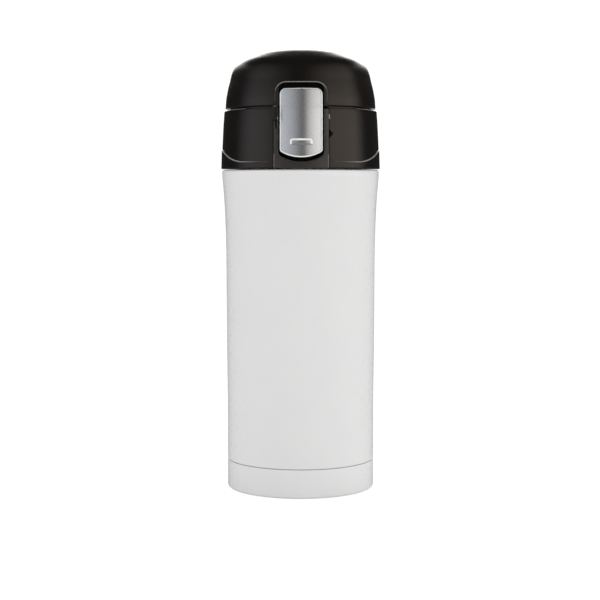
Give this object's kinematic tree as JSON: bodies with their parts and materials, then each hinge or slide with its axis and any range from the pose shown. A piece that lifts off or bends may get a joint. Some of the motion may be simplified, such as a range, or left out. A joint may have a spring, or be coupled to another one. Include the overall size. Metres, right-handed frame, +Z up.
{
  "type": "insulated travel mug",
  "caption": "Slim insulated travel mug: white double-walled steel flask, black screw-on lid with a domed flip-up cap and a silver push button at the front.",
  "frame": {"origin": "centre of the flat base, on the surface the mug stands on", "axes": "+Z up along the body to the cap's dome, -Y towards the push button, +Y towards the cap's hinge, +X to the right of the button as one faces it"},
  "size_m": [0.0712, 0.0739, 0.1971],
  "materials": {
    "white_coat": "smooth gloss white coating on steel",
    "bare_steel": "fine brushed, electropolished inside",
    "black_satin": "satin black moulding",
    "black_gloss": "semi-gloss black moulding",
    "black_inner": "fine matte black moulding",
    "silver_satin": "satin silver metallic skin",
    "silicone_grey": "soft translucent grey silicone",
    "pin_steel": "polished stainless wire and rod",
    "getter_alloy": "dull grey pressed powder in a steel cup",
    "seal_bead": "fused brown glass bead"
  },
  "bodies": {
    "flask": {"outer_shell": "white_coat", "base_cup": "white_coat", "outer_bottom": "bare_steel", "inner_liner": "bare_steel", "getter_capsule": "getter_alloy", "vacuum_port_seal": "seal_bead"},
    "seal_ring": {"neck_gasket": "silicone_grey"},
    "lid": {"lid_collar": "black_satin", "thread_ring": "black_inner", "mouthpiece": "black_inner", "mouthpiece_gasket": "silicone_grey", "button_bezel": "black_gloss", "button_pin": "pin_steel", "button_spring": "pin_steel", "hinge_pin": "pin_steel", "hinge_spring": "pin_steel"},
    "cap": {"flip_cap": "black_satin", "cap_liner": "black_inner", "cap_seal": "silicone_grey"},
    "button": {"button_face": "silver_satin", "button_lever": "black_inner"},
    "lock": {"lock_slider": "black_inner"}
  },
  "joints": [
    {"name": "lid_lift", "type": "slide", "parent": "flask", "child": "seal_ring", "axis": [0, 0, 1], "range_m": [0, 0.025]},
    {"name": "lid_turn", "type": "hinge", "parent": "seal_ring", "child": "lid", "pos_m": [0, 0, 0.157], "axis": [0, 0, 1], "range_deg": [0, 1800]},
    {"name": "cap_hinge", "type": "hinge", "parent": "lid", "child": "cap", "pos_m": [0, 0.0355, 0.169], "axis": [-1, 0, 0], "range_deg": [0, 110], "deforming": ["hinge_spring"]},
    {"name": "button_press", "type": "hinge", "parent": "lid", "child": "button", "pos_m": [0, -0.0284, 0.166], "axis": [1, 0, 0], "range_deg": [0, 6], "stiffness_Nm_per_rad": 0.3, "springref_deg": -1.72, "deforming": ["button_spring"]},
    {"name": "lock_slide", "type": "slide", "parent": "lid", "child": "lock", "axis": [0, -0.0576, -0.9983], "range_m": [0, 0.0045]}
  ],
  "couplings": [
    {"joint": "lid_lift", "follows": "lid_turn", "m_per_rad": 0.00079577}
  ]
}
